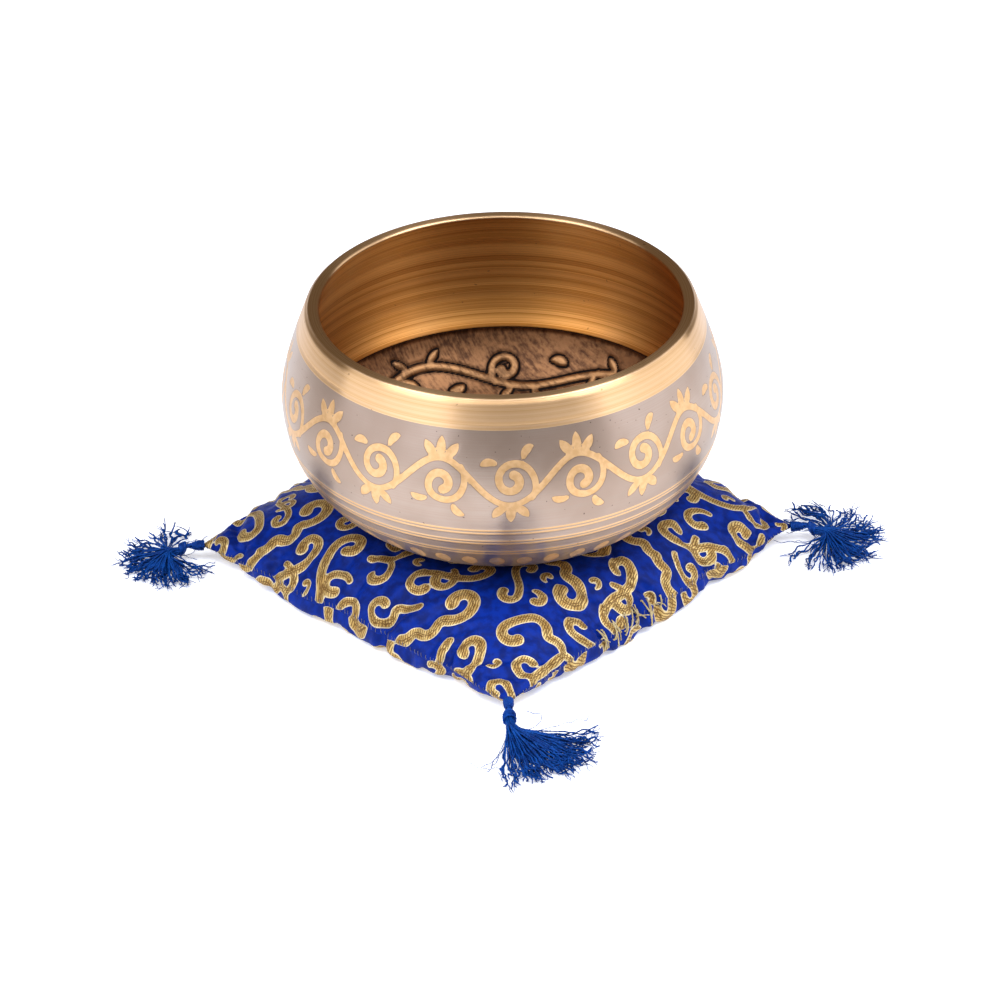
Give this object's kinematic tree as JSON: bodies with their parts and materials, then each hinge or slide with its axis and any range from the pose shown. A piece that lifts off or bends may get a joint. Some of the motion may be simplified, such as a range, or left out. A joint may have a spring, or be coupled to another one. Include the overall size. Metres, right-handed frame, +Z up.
{
  "type": "singing bowl on cushion",
  "caption": "Round bronze singing bowl with an engraved silvery band, resting on a square blue and gold brocade cushion with a tassel at each corner.",
  "frame": {"origin": "middle of the cushion's underside, on the surface it rests on", "axes": "+Z up out of the bowl's mouth; the cushion's sides run along X and Y, so its corners and tassels lie on the diagonals; the closing stitches are on the +X side"},
  "size_m": [0.2426, 0.2426, 0.104],
  "materials": {
    "bronze": "satin turned bronze with an antiqued silvery band and a dark patina in the engraving",
    "brocade": "royal blue satin with raised gold metallic scrollwork and pale outlines",
    "stuffing": "white fibre wadding",
    "blue_yarn": "soft twisted blue yarn",
    "gold_thread": "fine gold sewing thread"
  },
  "bodies": {
    "cushion": {"cushion_bottom_panel": "brocade", "cushion_top_panel": "brocade", "cushion_filling": "stuffing", "seam_thread": "gold_thread", "closing_stitches": "gold_thread", "tassel_tie_front_right": "blue_yarn", "tassel_tie_back_right": "blue_yarn", "tassel_tie_back_left": "blue_yarn", "tassel_tie_front_left": "blue_yarn"},
    "bowl": {"bowl": "bronze"},
    "tassel_front_right": {"tassel_strands_front_right": "blue_yarn", "tassel_binding_front_right": "blue_yarn"},
    "tassel_back_right": {"tassel_strands_back_right": "blue_yarn", "tassel_binding_back_right": "blue_yarn"},
    "tassel_back_left": {"tassel_strands_back_left": "blue_yarn", "tassel_binding_back_left": "blue_yarn"},
    "tassel_front_left": {"tassel_strands_front_left": "blue_yarn", "tassel_binding_front_left": "blue_yarn"}
  },
  "joints": [
    {"name": "bowl_lift", "type": "slide", "parent": "cushion", "child": "bowl", "axis": [0, 0, 1], "range_m": [0, 0.12]},
    {"name": "tassel_front_right_swing", "type": "hinge", "parent": "cushion", "child": "tassel_front_right", "pos_m": [0.08082, -0.08082, 0.006], "axis": [-0.7071, -0.7071, 0], "range_deg": [-70, 90]},
    {"name": "tassel_back_right_swing", "type": "hinge", "parent": "cushion", "child": "tassel_back_right", "pos_m": [0.08082, 0.08082, 0.006], "axis": [0.7071, -0.7071, 0], "range_deg": [-70, 90]},
    {"name": "tassel_back_left_swing", "type": "hinge", "parent": "cushion", "child": "tassel_back_left", "pos_m": [-0.08082, 0.08082, 0.006], "axis": [0.7071, 0.7071, 0], "range_deg": [-70, 90]},
    {"name": "tassel_front_left_swing", "type": "hinge", "parent": "cushion", "child": "tassel_front_left", "pos_m": [-0.08082, -0.08082, 0.006], "axis": [-0.7071, 0.7071, 0], "range_deg": [-70, 90]}
  ]
}
